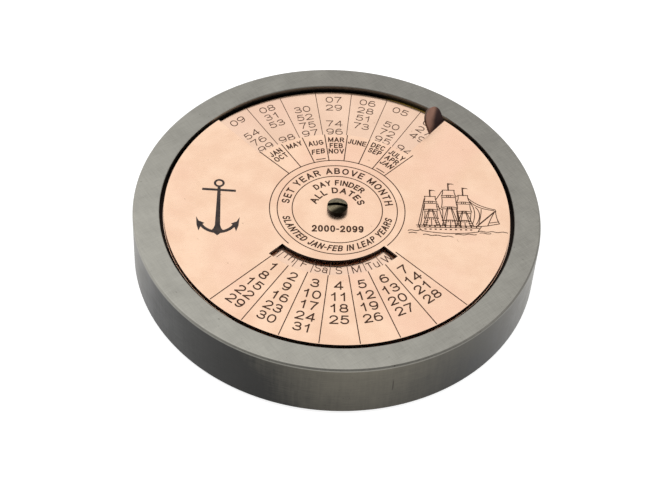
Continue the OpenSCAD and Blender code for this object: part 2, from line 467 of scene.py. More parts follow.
def roundCorner(before, corner, after, radius, steps=7):
    # points of an arc that rounds a corner of a profile, tangent to both its sides
    before, corner, after = (np.array(p, float) for p in (before, corner, after))
    a = (before - corner) / np.linalg.norm(before - corner)
    b = (after - corner) / np.linalg.norm(after - corner)
    half = math.acos(float(np.clip(a @ b, -1, 1))) / 2
    reach = radius / math.tan(half)
    middle = corner + (a + b) / np.linalg.norm(a + b) * radius / math.sin(half)
    first, last = corner + a * reach - middle, corner + b * reach - middle
    share = np.linspace(0, 1, steps)[:, None]
    arc = (1 - share) * first + share * last
    return middle + arc / np.linalg.norm(arc, axis=1)[:, None] * radius


def roundedProfile(corners, margin=0.02):
    # corners are (r, z, radius of the round); the ends stay as they are, and a point close
    # before and after each round, at the margin in mm, keeps the flats beside it flat in shading
    flat = [np.array(c[:2], float) for c in corners]
    parts = [np.array([flat[0]])]
    for k in range(1, len(corners) - 1):
        if corners[k][2] > 0:
            turn = roundCorner(flat[k - 1], flat[k], flat[k + 1], corners[k][2])
            into = (flat[k - 1] - turn[0]) / np.linalg.norm(flat[k - 1] - turn[0])
            out = (flat[k + 1] - turn[-1]) / np.linalg.norm(flat[k + 1] - turn[-1])
            parts += [turn[:1] + into * margin, turn, turn[-1:] + out * margin]
        else:
            parts.append(np.array([flat[k]]))
    parts.append(np.array([flat[-1]]))
    return np.vstack(parts)


def turned(name, corners, finish, body, slot, segments):
    # a lathe surface: (r(u) cos v, r(u) sin v, z(u))
    profile = roundedProfile(corners) * mm
    v = np.linspace(0, 2 * math.pi, segments, endpoint=False)
    ring = np.stack([np.cos(v), np.sin(v)], -1)
    heights = np.repeat(profile[:, None, 1:], segments, 1)
    points = np.concatenate([profile[:, None, :1] * ring[None], heights], -1)
    faces = gridFaces(len(profile), segments, False, True)
    piece = newPiece(name, points.reshape(-1, 3), faces.tolist(), finish, body)
    closeUp(piece)
    return piece


def closeUp(piece, sharp=35):
    # merges the points that meet at poles and seams, and turns every face outwards
    work = bmesh.new()
    work.from_mesh(piece.data)
    bmesh.ops.remove_doubles(work, verts=work.verts, dist=1e-7)
    bmesh.ops.dissolve_degenerate(work, edges=work.edges, dist=1e-8)
    bmesh.ops.recalc_face_normals(work, faces=work.faces)
    work.to_mesh(piece.data)
    work.free()
    piece.data.shade_smooth()
    piece.data.set_sharp_from_angle(angle=math.radians(sharp))


def arc(centre, radius, start, end, steps):
    # points on a circle from one direction to another, in degrees
    a = np.radians(np.linspace(start, end, steps))
    return np.stack([centre[0] + radius * np.cos(a), centre[1] + radius * np.sin(a)], -1)


def circle(centre, radius, steps):
    return arc(centre, radius, 0, 360, steps + 1)[:-1]


def roundEdges(piece, width, angle):
    # rounds the edges that turn by more than an angle, over a width in mm
    rounding = piece.modifiers.new("edges", "BEVEL")
    rounding.width = width * mm
    rounding.segments = 2
    rounding.limit_method = "ANGLE"
    rounding.angle_limit = math.radians(angle)
    rounding.harden_normals = True


def turnedBy(points, degrees):
    a = math.radians(degrees)
    return points @ np.array([[math.cos(a), math.sin(a)], [-math.sin(a), math.cos(a)]])


def stamped(name, loops, bottom, top, finish, body, edge=0.05):
    # a flat sheet cut to outlines: the first loop is its edge and the others are holes,
    # with the cut edges slightly rounded
    data = bpy.data.curves.new(name, "CURVE")
    data.dimensions = "2D"
    data.fill_mode = "BOTH"
    data.extrude = (top - bottom) / 2 - edge * mm
    data.bevel_depth = edge * mm
    data.bevel_resolution = 2
    data.offset = -edge * mm
    for loop in loops:
        spline = data.splines.new("POLY")
        spline.points.add(len(loop) - 1)
        flat = np.column_stack([loop * mm, np.zeros(len(loop)), np.ones(len(loop))])
        spline.points.foreach_set("co", flat.ravel())
        spline.use_cyclic_u = True
    outline = addObject(name + "_outline", data)
    graph = bpy.context.evaluated_depsgraph_get()
    mesh = bpy.data.meshes.new_from_object(outline.evaluated_get(graph))
    bpy.data.objects.remove(outline)
    mesh.transform(Matrix.Translation((0, 0, (top + bottom) / 2)))
    mesh.name = name
    piece = addObject(name, mesh)
    closeUp(piece, 12)
    settle(piece, finish, body, math.radians(12))
    return piece


# case

case = {"rimOuter": 0.45, "rimInner": 0.25, "foot": 0.4, "recess": 32.6, "feltRecess": 34.8,
        "feltMouth": 0.1, "feltEdge": 0.3, "screwHole": 1.02, "screwHoleFoot": 3.86}


def makeCase():
    r, top = caseRadius / mm, caseTop / mm
    floor = discLow[2] / mm
    foot, ceiling = caseLow[2] / mm, feltHigh[2] / mm
    felt, hole = case["feltRecess"], case["screwHole"]
    corners = [(0, ceiling, 0), (felt, ceiling, 0), (felt, foot, case["feltMouth"]),
               (r, foot, case["foot"]), (r, top, case["rimOuter"]),
               (case["recess"], top, case["rimInner"]), (case["recess"], floor, 0),
               (hole, floor, 0), (hole, case["screwHoleFoot"], 0), (0, case["screwHoleFoot"], 0)]
    piece = turned("case_body", corners, "case", "base", "gunmetal_brass", 256)
    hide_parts("case")


def makeFelt():
    r, thick = feltHigh[0] / mm, feltHigh[2] / mm
    corners = [(0, 0, 0), (r, 0, case["feltEdge"]), (r, thick, 0), (0, thick, 0)]
    piece = turned("felt_foot", corners, "felt", "base", "felt", 192)
    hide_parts("felt_pad")


makeCase()
makeFelt()
print("case and felt made")


# the two copper sheets

def rayLength(start, direction, radius):
    # from a point inside a circle about the origin to the circle, in one direction
    ahead = start @ unit(direction)
    return math.sqrt(ahead ** 2 - start @ start + radius ** 2) - ahead


def makeSheets():
    apex = np.array(windows["apex"])
    r = plateRadius / mm
    ends = [apex + rayLength(apex, windows[k], r) * unit(windows[k]) for k in ("end", "start")]
    fromLeft, toRight = (math.degrees(math.atan2(y, x)) for x, y in ends)
    fine = windows["fineness"]
    edge = np.vstack([arc((0, 0), r, fromLeft, toRight + 360, fine["edge"]),
                      arc(apex, windows["inner"], windows["start"], windows["end"], fine["year"])])
    c, h = windows["dayCentre"], windows["dayHalf"]
    day = np.vstack([arc(c, windows["dayOuter"], 270 - h, 270 + h, fine["day"]),
                     arc(c, windows["dayInner"], 270 + h, 270 - h, fine["day"])])
    bore = circle((0, 0), windows["boreRadius"], fine["bore"])
    plate = stamped("dial_sheet", [edge, day, bore], plateBottom, plateTop,
                    "plate", "dial")
    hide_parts("dial_plate")
    disc = stamped("year_sheet",
                   [circle((0, 0), discRadius / mm, fine["disc"]),
                    circle((0, 0), windows["discBore"], fine["discBore"]),
                    circle(windows["pinPlace"], windows["pinBore"], fine["pin"])],
                   discLow[2], discTop, "disc", "base")
    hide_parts("year_disc")


makeSheets()


def makeTab():
    # a bent tongue: its middle line runs along the sheet, round the bend and up, and its
    # half width follows a rounded end; (across, along) on one face, then the same on the other
    t = sheet / mm - 2 * tab["inset"]
    turn = math.radians(90 - tab["lean"])
    radius = tab["bend"] + t / 2
    arcLength = radius * turn
    straight = tab["length"] - radius * math.tan(turn / 2)
    inRoot, inBend, beyondBend = tab["rows"]
    run = np.concatenate([np.linspace(-tab["root"], 0, inRoot)[:-1], np.linspace(0, arcLength, inBend)[:-1],
                          arcLength + straight * np.sin(np.linspace(0, math.pi / 2, beyondBend))])
    bent = np.clip(run / radius, 0, turn)
    beyond = np.clip(run - arcLength, 0, None)
    y = np.minimum(run, 0) + radius * np.sin(bent) + beyond * math.cos(turn)
    z = radius * (1 - np.cos(bent)) + beyond * math.sin(turn)
    half = tab["width"] / 2
    roundFrom = arcLength + straight - half
    past = np.clip((run - roundFrom) / half, 0, 1)
    wide = half * np.sqrt(np.clip(1 - past ** 2, 0, 1))
    count, columns = len(y), tab["columns"]
    across = np.linspace(-1, 1, columns)
    middle = np.stack([half + across[:, None] * wide[None], np.broadcast_to(y, (columns, count)),
                       np.broadcast_to(z, (columns, count))], -1)
    normal = np.stack([np.zeros_like(bent), -np.sin(bent), np.cos(bent)], -1)[None] * t / 2
    both = np.concatenate([middle + normal, (middle - normal)[::-1]], 0)
    faces = gridFaces(2 * columns, count, True, False).tolist()
    faces.append([k * count for k in range(2 * columns)])
    shift = -radius * math.tan(turn / 2)
    local = both.reshape(-1, 3) + np.array([0, shift, 0])
    a = math.radians(windows["start"])
    x, yy = local[:, 0] + tab["start"], local[:, 1]
    points = np.stack([windows["apex"][0] + x * math.cos(a) - yy * math.sin(a),
                       windows["apex"][1] + x * math.sin(a) + yy * math.cos(a),
                       local[:, 2] + (plateBottom + plateTop) / 2 / mm], -1) * mm
    piece = newPiece("finger_tab", points, faces, "tab", "dial")
    closeUp(piece)
    roundEdges(piece, tab["bevel"], 50)


makeTab()
print("copper sheets made")


# screw, bush, washer and pin

screw = {"headRadius": 1.9, "edgeHeight": 0.85, "crownHeight": 1.35, "seat": 12.16, "bevel": 0.05,
         "slotWidth": 0.7, "slotDepth": 0.75, "slotTurn": -4.0, "rows": (22, 5), "columns": 31,
         "shank": 1.0, "threadDepth": 0.2, "pitch": 0.4, "runOut": 0.3, "perTurn": 8, "around": 40}


def makeScrewHead():
    # rows across the head, each a chord of the round: (u, row) gives x = u * half chord.
    # The slot's walls are pairs of rows at the same y and two heights.
    r, rise = screw["headRadius"], screw["crownHeight"] - screw["edgeHeight"]
    ball = (r * r + rise * rise) / (2 * rise)
    halfSlot = screw["slotWidth"] / 2
    beside, inside = screw["rows"]
    side = halfSlot + (r - halfSlot) * np.sin(np.linspace(0, math.pi / 2, beside))
    rows = np.concatenate([-side[::-1], np.linspace(-halfSlot, halfSlot, inside), side])
    low = np.repeat([False, True, False], [beside, inside, beside])
    u = np.sin(np.linspace(-math.pi / 2, math.pi / 2, screw["columns"]))
    x = np.sqrt(np.clip(r * r - rows ** 2, 0, None))[:, None] * u[None]
    y = np.repeat(rows[:, None], len(u), 1)
    dome = screw["crownHeight"] - ball + np.sqrt(ball ** 2 - x ** 2 - y ** 2)
    z = np.where(low[:, None], screw["crownHeight"] - screw["slotDepth"], dome) + screw["seat"]
    top = np.stack([x, y, z], -1)
    n, m = top.shape[:2]
    faces = gridFaces(n, m, False, False)[:, ::-1].tolist()
    rim = [i * m for i in range(n)] + [i * m + m - 1 for i in range(n - 1, -1, -1)]
    foot = top.reshape(-1, 3)[rim].copy()
    foot[:, 2] = screw["seat"]
    start, count = n * m, len(rim)
    for k in range(count):
        after = (k + 1) % count
        faces.append([rim[k], rim[after], start + after, start + k])
    faces.append([start + k for k in range(count)])
    points = np.vstack([top.reshape(-1, 3), foot])
    points[:, :2] = turnedBy(points[:, :2], screw["slotTurn"])
    piece = newPiece("screw_head", points * mm, faces, "screw", "base")
    closeUp(piece)
    roundEdges(piece, screw["bevel"], 40)
    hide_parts("pivot_screw")


def makeThread():
    # a screw thread: the radius rises and falls with the height less the turn's share of the pitch
    bottom, top, core = screwLow[2] / mm, screw["seat"], screw["shank"] - screw["threadDepth"]
    around = screw["around"]
    v = np.linspace(0, 2 * math.pi, around, endpoint=False)
    z = np.linspace(bottom, top, int((top - bottom) / screw["pitch"] * screw["perTurn"]))
    wave = np.abs(((z[:, None] / screw["pitch"] - v[None] / (2 * math.pi)) % 1) * 2 - 1)
    fade = np.clip(np.minimum(z - bottom, top - z) / screw["runOut"], 0, 1)[:, None]
    r = screw["shank"] - screw["threadDepth"] * (1 - wave * fade)
    r[0] = r[-1] = core
    points = np.stack([r * np.cos(v), r * np.sin(v), np.repeat(z[:, None], around, 1)], -1)
    faces = gridFaces(len(z), around, False, True).tolist()
    last = (len(z) - 1) * around
    faces += [list(range(around - 1, -1, -1)), [last + k for k in range(around)]]
    piece = newPiece("screw_thread", points.reshape(-1, 3) * mm, faces, "screw", "base")
    closeUp(piece)


small = {"bore": 1.02, "barrel": 1.6, "flange": 0.18, "bushRounds": (0.03, 0.05),
         "washerHole": 1.65, "washerSheet": 0.1, "washerRound": 0.02, "pinRound": 0.1}


def makeSmallParts():
    flange, barrel, bore = bushHigh[0] / mm, small["barrel"], small["bore"]
    low, high = bushLow[2] / mm, bushHigh[2] / mm
    ledge = low + small["flange"]
    a, b = small["bushRounds"]
    corners = [(bore, low, 0), (flange, low, a), (flange, ledge, a), (barrel, ledge, a),
               (barrel, high, b), (bore, high, b), (bore, low, 0)]
    bush = turned("bush", corners, "brass", "base", "bare_brass", 96)
    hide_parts("pivot_bush")
    outer, hole, thick = washerHigh[0] / mm, small["washerHole"], small["washerSheet"]
    low, high = washerLow[2] / mm, washerHigh[2] / mm
    a = small["washerRound"]
    corners = [(outer, low, 0), (outer, low + thick, a), (hole, high, a), (hole, high - thick, a),
               (outer, low, 0)]
    washer = turned("washer", corners, "steel", "base", "spring_steel", 96)
    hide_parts("spring_washer")
    r, a = (pinHigh[0] - pinLow[0]) / 2 / mm, small["pinRound"]
    low, high = pinLow[2] / mm, pinHigh[2] / mm
    corners = [(0, low, 0), (r, low, a), (r, high, a), (0, high, 0)]
    pin = turned("pin", corners, "brass", "base", "bare_brass", 40)
    pin.data.transform(Matrix.Translation((0, (pinLow[1] + pinHigh[1]) / 2, 0)))
    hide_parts("locating_pin")


makeScrewHead()
makeThread()
makeSmallParts()
print("screw, bush, washer and pin made")


# lettering, drawn with strokes of one weight in a box one unit high

def bow(cx, cy, rx, ry, start, end, square=0.92):
    # part of an ellipse, squared off a little as sign letters are
    steps = max(4, int(abs(end - start) / 18) + 1)
    a = np.radians(np.linspace(start, end, steps))
    c, s = np.cos(a), np.sin(a)
    x, y = (np.sign(v) * np.abs(v) ** square for v in (c, s))
    return np.stack([cx + rx * x, cy + ry * y], -1)


def path(*parts):
    return np.vstack([np.atleast_2d(np.array(p, float)) for p in parts])


lowerBowl = bow(0.49, 0.325, 0.50, 0.325, 140, -155)
nineStem = 1 - bow(0.52, 0.42, 0.52, 0.58, 185, 58)
glyphs = {      # width, then the strokes
    "0": (0.60, [bow(0.5, 0.5, 0.5, 0.5, 90, 450)]),
    "1": (0.52, [path((0.12, 0.72), (0.42, 0.82), (0.62, 1), (0.62, 0))]),
    "2": (0.60, [path(bow(0.49, 0.70, 0.47, 0.30, 168, -28), (0.45, 0.28), (0, 0), (1, 0))]),
    "3": (0.60, [path(bow(0.47, 0.75, 0.42, 0.25, 160, -80), (0.32, 0.525)),
                 bow(0.48, 0.265, 0.50, 0.265, 86, -160)]),
    "4": (0.62, [path((0.76, 0), (0.76, 1), (0, 0.27), (1, 0.27))]),
    "5": (0.60, [path((0.92, 1), (0.18, 1), (0.11, 0.53), lowerBowl[1:])]),
    "6": (0.60, [bow(0.5, 0.31, 0.5, 0.31, 90, 450), bow(0.52, 0.42, 0.52, 0.58, 185, 58)]),
    "7": (0.58, [path((0, 1), (1, 1), (0.62, 0.52), (0.36, 0))]),
    "8": (0.60, [bow(0.5, 0.755, 0.42, 0.245, 90, 450), bow(0.5, 0.26, 0.5, 0.26, 90, 450)]),
    "9": (0.60, [bow(0.5, 0.69, 0.5, 0.31, 90, 450), nineStem]),
    "-": (0.34, [path((0, 0.42), (1, 0.42))]),
    "A": (0.72, [path((0, 0), (0.5, 1), (1, 0)), path((0.17, 0.34), (0.83, 0.34))]),
    "B": (0.64, [path((0, 0), (0, 1), (0.55, 1), bow(0.55, 0.76, 0.38, 0.24, 80, -80), (0, 0.52)),
                 path((0.5, 0.52), bow(0.58, 0.26, 0.42, 0.26, 80, -80), (0, 0))]),
    "C": (0.68, [bow(0.52, 0.5, 0.52, 0.5, 42, 318)]),
    "D": (0.68, [path((0, 0), (0, 1), bow(0.42, 0.5, 0.58, 0.5, 88, -88), (0, 0))]),
    "E": (0.58, [path((1, 1), (0, 1), (0, 0), (1, 0)), path((0, 0.52), (0.88, 0.52))]),
    "F": (0.54, [path((1, 1), (0, 1), (0, 0)), path((0, 0.50), (0.85, 0.50))]),
    "G": (0.72, [path(bow(0.52, 0.5, 0.52, 0.5, 42, 335), (0.98, 0.46), (0.58, 0.46))]),
    "H": (0.66, [path((0, 0), (0, 1)), path((1, 0), (1, 1)), path((0, 0.52), (1, 0.52))]),
    "I": (0.16, [path((0.5, 0), (0.5, 1))]),
    "J": (0.48, [path((1, 1), bow(0.5, 0.28, 0.5, 0.28, 0, -170))]),
    "L": (0.52, [path((0, 1), (0, 0), (1, 0))]),
    "M": (0.80, [path((0, 0), (0, 1), (0.5, 0.08), (1, 1), (1, 0))]),
    "N": (0.66, [path((0, 0), (0, 1), (1, 0), (1, 1))]),
    "O": (0.74, [bow(0.5, 0.5, 0.5, 0.5, 90, 450)]),
    "P": (0.62, [path((0, 0), (0, 1), (0.5, 1), bow(0.56, 0.74, 0.44, 0.26, 80, -80), (0, 0.48))]),
    "R": (0.66, [path((0, 0), (0, 1), (0.5, 1), bow(0.56, 0.75, 0.42, 0.25, 80, -80), (0, 0.50)),
                 path((0.55, 0.50), (1, 0))]),
    "S": (0.62, [path(bow(0.49, 0.75, 0.45, 0.25, 22, 255), (0.5, 0.5),
                      bow(0.50, 0.25, 0.48, 0.25, 75, -158))]),
    "T": (0.60, [path((0, 1), (1, 1)), path((0.5, 1), (0.5, 0))]),
    "U": (0.66, [path((0, 1), bow(0.5, 0.32, 0.5, 0.32, 180, 360), (1, 1))]),
    "V": (0.68, [path((0, 1), (0.5, 0), (1, 1))]),
    "W": (0.96, [path((0, 1), (0.25, 0), (0.5, 0.95), (0.75, 0), (1, 1))]),
    "Y": (0.66, [path((0, 1), (0.5, 0.45), (1, 1)), path((0.5, 0.45), (0.5, 0))]),
    "a": (0.52, [bow(0.45, 0.21, 0.45, 0.21, 90, 450),
                 path(bow(0.47, 0.50, 0.45, 0.22, 160, 10), (0.92, 0.10), (1, 0))]),
    "h": (0.50, [path((0, 0), (0, 1)), path(bow(0.5, 0.42, 0.5, 0.30, 176, 0), (1, 0))]),
    "u": (0.50, [path((0, 0.72), bow(0.5, 0.27, 0.5, 0.27, 180, 352)), path((1, 0.72), (1, 0))]),
}


def spacedText(words, height, weight, gap, slant=0.0, narrow=1.0):
    # strokes of a line of text about its middle, each letter with its own middle and width
    letters, at = [], 0.0
    for mark in words:
        if mark == " ":
            at += 0.42 * height * narrow
            continue
        width, strokes = glyphs[mark]
        width = max(width * height * narrow, weight)
        inner = np.array([max(width - weight, 0.0), height - weight])
        placed = [s * inner + weight / 2 for s in strokes]
        letters.append((at, width, placed))
        at += width + gap
    length = at - gap
    moved = []
    for at, width, placed in letters:
        centred = []
        for points in placed:
            x, y = points[:, 0] - width / 2, points[:, 1] - height / 2
            centred.append(np.stack([x + slant * y, y], -1))
        moved.append((at + width / 2 - length / 2, centred))
    return moved, length


def straightText(words, centre, turn, **style):
    letters, _ = spacedText(words, **style)
    return [turnedBy(s + (at, 0), turn) + centre for at, strokes in letters for s in strokes]


def radialText(words, direction, radius, upIsOut, **style):
    # a straight word standing in a column: its middle is at (radius, direction) on the dial
    turn = direction - 90 if upIsOut else direction + 90
    return straightText(words, radius * unit(direction), turn, **style)


def arcText(words, start, end, radius, upIsOut, height, **style):
    # a word bent round a circle so that it fills the directions from start to end
    letters, length = spacedText(words, height, gap=0.2 * height, **style)
    strokes = []
    for at, parts in letters:
        direction = start + (end - start) * (at / length + 0.5)
        turn = direction - 90 if upIsOut else direction + 90
        strokes += [turnedBy(s, turn) + radius * unit(direction) for s in parts]
    return strokes


class Inlay:
    # gathers strokes and filled shapes, and makes one mesh of thin slabs from them;
    # neighbouring strokes stand at slightly different heights, so that none lie face on face
    def __init__(self, surface, proud=0.010, depth=0.03, step=0.0016):
        self.levels = [surface / mm + proud + step * k for k in range(6)]
        self.top = self.levels[0]
        self.bottom = surface / mm - depth
        self.points, self.faces, self.count = [], [], 0

    def nextLevel(self):
        self.top = self.levels[(self.levels.index(self.top) + 1) % len(self.levels)]

    def stroke(self, points, weight):
        # a path is cut where it doubles back sharply, and each part becomes a ribbon
        points = np.asarray(points, float)
        apart = np.linalg.norm(np.diff(points, axis=0), axis=1) > 1e-4
        points = points[np.concatenate([[True], apart])]
        step = np.diff(points, axis=0)
        step /= np.linalg.norm(step, axis=1)[:, None]
        sharp = np.flatnonzero((step[1:] * step[:-1]).sum(1) < -0.1) + 1
        ends = [0, *sharp, len(points) - 1]
        for first, last in zip(ends[:-1], ends[1:]):
            self.nextLevel()
            self.ribbon(points[first:last + 1], weight)

    def ribbon(self, points, weight):
        # a slab of one width along a path, square at open ends and mitred at corners
        closed = np.linalg.norm(points[0] - points[-1]) < 1e-6 and len(points) > 3
        if closed:
            points = points[:-1]
            ahead = np.roll(points, -1, 0) - points
            ahead /= np.linalg.norm(ahead, axis=1)[:, None]
            behind = np.roll(ahead, 1, 0)
        else:
            step = np.diff(points, axis=0)
            step /= np.linalg.norm(step, axis=1)[:, None]
            ahead = np.vstack([step, step[-1:]])
            behind = np.vstack([step[:1], step])
            points = points.copy()
            points[0] -= step[0] * weight / 2
            points[-1] += step[-1] * weight / 2
        turn = sum(np.stack([-way[:, 1], way[:, 0]], -1) for way in (ahead, behind))
        size = np.linalg.norm(turn, axis=1)[:, None]
        reach = np.minimum(2 / np.maximum(size, 1e-6), 1.7)
        offset = turn / np.maximum(size, 1e-6) * reach * weight / 2
        left, right = points + offset, points - offset
        n = len(points)
        edges = ((left, self.top), (right, self.top), (right, self.bottom), (left, self.bottom))
        ring = np.stack([np.column_stack([edge, np.full(n, z)]) for edge, z in edges], 1)
        faces = (gridFaces(n, 4, closed, True) + self.count).tolist()
        if not closed:
            last = self.count + (n - 1) * 4
            faces += [[self.count + k for k in range(4)], [last + k for k in (3, 2, 1, 0)]]
        self.points.append(ring.reshape(-1, 3))
        self.faces += faces
        self.count += 4 * n

    def strokes(self, paths, weight):
        for points in paths:
            self.stroke(points, weight)

    def write(self, lay, words, *where, **style):
        # lay is straightText, radialText or arcText; the style has the height, weight and so on
        self.strokes(lay(words, *where, **style), style["weight"])

    def shape(self, points):
        # a filled outline
        self.nextLevel()
        points = np.asarray(points, float)
        n = len(points)
        self.points += [np.column_stack([points, np.full(n, z)]) for z in (self.top, self.bottom)]
        c = self.count
        self.faces += [[c + k for k in range(n)], [c + n + k for k in range(n - 1, -1, -1)]]
        self.faces += [[c + k, c + n + k, c + n + (k + 1) % n, c + (k + 1) % n] for k in range(n)]
        self.count += 2 * n

    def make(self, name, finish, body):
        piece = newPiece(name, np.vstack(self.points) * mm, self.faces, finish, body)
        work = bmesh.new()
        work.from_mesh(piece.data)
        bmesh.ops.recalc_face_normals(work, faces=work.faces)
        work.to_mesh(piece.data)
        work.free()


# what the dial plate says

dial = {
    "step": 13.0,       # degrees from column to column
    "line": 0.185,
    "rings": (8.31, 11.06), "brokenRing": 12.47, "breakFrom": 224.0, "breakTo": 316.0,
    "monthLine": (12.45, 19.3), "monthEdgeLine": (12.45, 20.3), "lineEnd": 0.25,
    "month": {"height": 1.27, "weight": 0.225, "gap": 0.15},
    "leapSlant": 0.2, "dash": 0.85, "dashRadius": 13.05,
    "dateRows": (18.43, 21.03, 23.63, 26.23, 28.78),
    "date": {"height": 1.96, "weight": 0.28, "gap": 0.30, "narrow": 1.35},
    "span": {"height": 1.62, "weight": 0.31, "gap": 0.17, "narrow": 0.97},
    "bent": [   # words, from and to in degrees, radius, whether their tops point outwards, style
        ("SET YEAR ABOVE MONTH", 173, 7, 9.66, True,
         {"height": 1.52, "weight": 0.275, "narrow": 1.12}),
        ("SLANTED JAN-FEB IN LEAP YEARS", 192.5, 347.5, 9.66, False,
         {"height": 1.40, "weight": 0.255, "slant": 0.22, "narrow": 0.98}),
        ("DAY FINDER", 129, 43, 6.65, True, {"height": 1.34, "weight": 0.265, "narrow": 1.1}),
        ("ALL DATES", 163, 15, 4.7, True, {"height": 1.46, "weight": 0.29, "narrow": 1.2}),
    ],
}
months = [  # columns from left to right, words and their radii; a star marks the leap year ones
    [("JAN", 18.2), ("OCT", 16.65)],
    [("MAY", 18.1)],
    [("AUG", 17.35), ("*FEB", 15.1)],
    [("MAR", 17.95), ("FEB", 16.4), ("NOV", 14.9)],
    [("JUNE", 17.75)],
    [("DEC", 18.2), ("SEP", 16.7)],
    [("JULY", 18.2), ("APR", 16.65), ("*JAN", 15.1)],
]


def letterPlate():
    d = dial
    ink = Inlay(plateTop)
    for radius in d["rings"]:
        ink.stroke(arc((0, 0), radius, 0, 360, 145), d["line"])
    ink.stroke(arc((0, 0), d["brokenRing"], d["breakTo"] - 360, d["breakFrom"], 130), d["line"])
    for k in range(8):
        turn = (3.5 - k) * d["step"]
        inner, outer = d["monthEdgeLine"] if k in (0, 7) else d["monthLine"]
        ink.stroke(spoke(90 + turn, inner, outer), d["line"])
        ink.stroke(spoke(270 - turn, dateLineStart(270 - turn), plateRadius / mm - d["lineEnd"]), d["line"])
    for k, words in enumerate(months):
        direction = 90 + (3 - k) * d["step"]
        for word, radius in words:
            leap = word.startswith("*")
            ink.write(radialText, word.strip("*"), direction, radius, True,
                      slant=d["leapSlant"] * leap, **d["month"])
            if leap:
                dash = turnedBy(np.array([[-d["dash"], 0.0], [d["dash"], 0.0]]), direction - 90)
                ink.stroke(dash + spoke(direction, 0, d["dashRadius"])[1], d["line"])
    for k in range(7):
        for row, radius in enumerate(d["dateRows"]):
            day = k + 1 + 7 * row
            if day <= 31:
                ink.write(radialText, str(day), 270 + (k - 3) * d["step"], radius, False, **d["date"])
    for words, *where, style in d["bent"]:
        ink.write(arcText, words, *where, **style)
    ink.write(straightText, "2000-2099", (0.0, -4.9), 0, **d["span"])
    ink.make("plate_lettering", "etch", "dial")


def spoke(direction, inner, outer):
    return np.outer([inner, outer], unit(direction))


def dateLineStart(direction):
    # just outside the day window's outer edge, which is centred off the screw
    edge = rayLength(-np.array(windows["dayCentre"]), direction, windows["dayOuter"])
    return edge + 0.2 if abs(direction - 270) < 45 else edge - 1.1 * (direction > 270) + 0.25


letterPlate()


# the anchor and the ship on the plate

anchor = {"x": -21.85, "ringY": 5.83, "ring": 0.80, "ringWeight": 0.42,
          "stockY": 4.1, "stock": 2.85, "tilt": 0.14, "stockWeight": 0.54,
          "armY": -2.86, "arm": 3.49, "armWeight": 0.62}


def drawAnchor():
    d = anchor
    x = d["x"]
    ink = Inlay(plateTop)
    ink.stroke(arc((x, d["ringY"]), d["ring"], 90, 450, 33), d["ringWeight"])
    ink.stroke([(x - d["stock"], d["stockY"] + d["tilt"]), (x + d["stock"], d["stockY"] - d["tilt"])],
               d["stockWeight"])
    half = np.array([(0.28, 4.95), (0.48, -4.6), (0.66, -5.35), (1.05, -5.95), (0.55, -6.65), (0.0, -7.2)])
    ink.shape(np.vstack([half * (-1, 1), half[-2::-1]]) + (x, 0))
    ink.stroke(arc((x, d["armY"]), d["arm"], 203, 337, 34), d["armWeight"])
    fluke = np.array([(3.98, 0.25), (3.45, -0.85), (2.4, -1.35), (2.95, -1.85), (3.4, -3.25), (3.8, -1.9)])
    for side in (-1, 1):
        ink.shape(fluke * (side, 1) + (x, d["armY"]))
    ink.make("anchor_mark", "anchor", "dial")


ship = {"line": 0.165, "heavy": 0.27, "deck": -3.6}


def curve(*corners, steps=9):
    # a smooth bend through three corners, as a quadratic
    a, b, c = (np.array(p, float) for p in corners)
    t = np.linspace(0, 1, steps)[:, None]
    return (1 - t) ** 2 * a + 2 * t * (1 - t) * b + t ** 2 * c


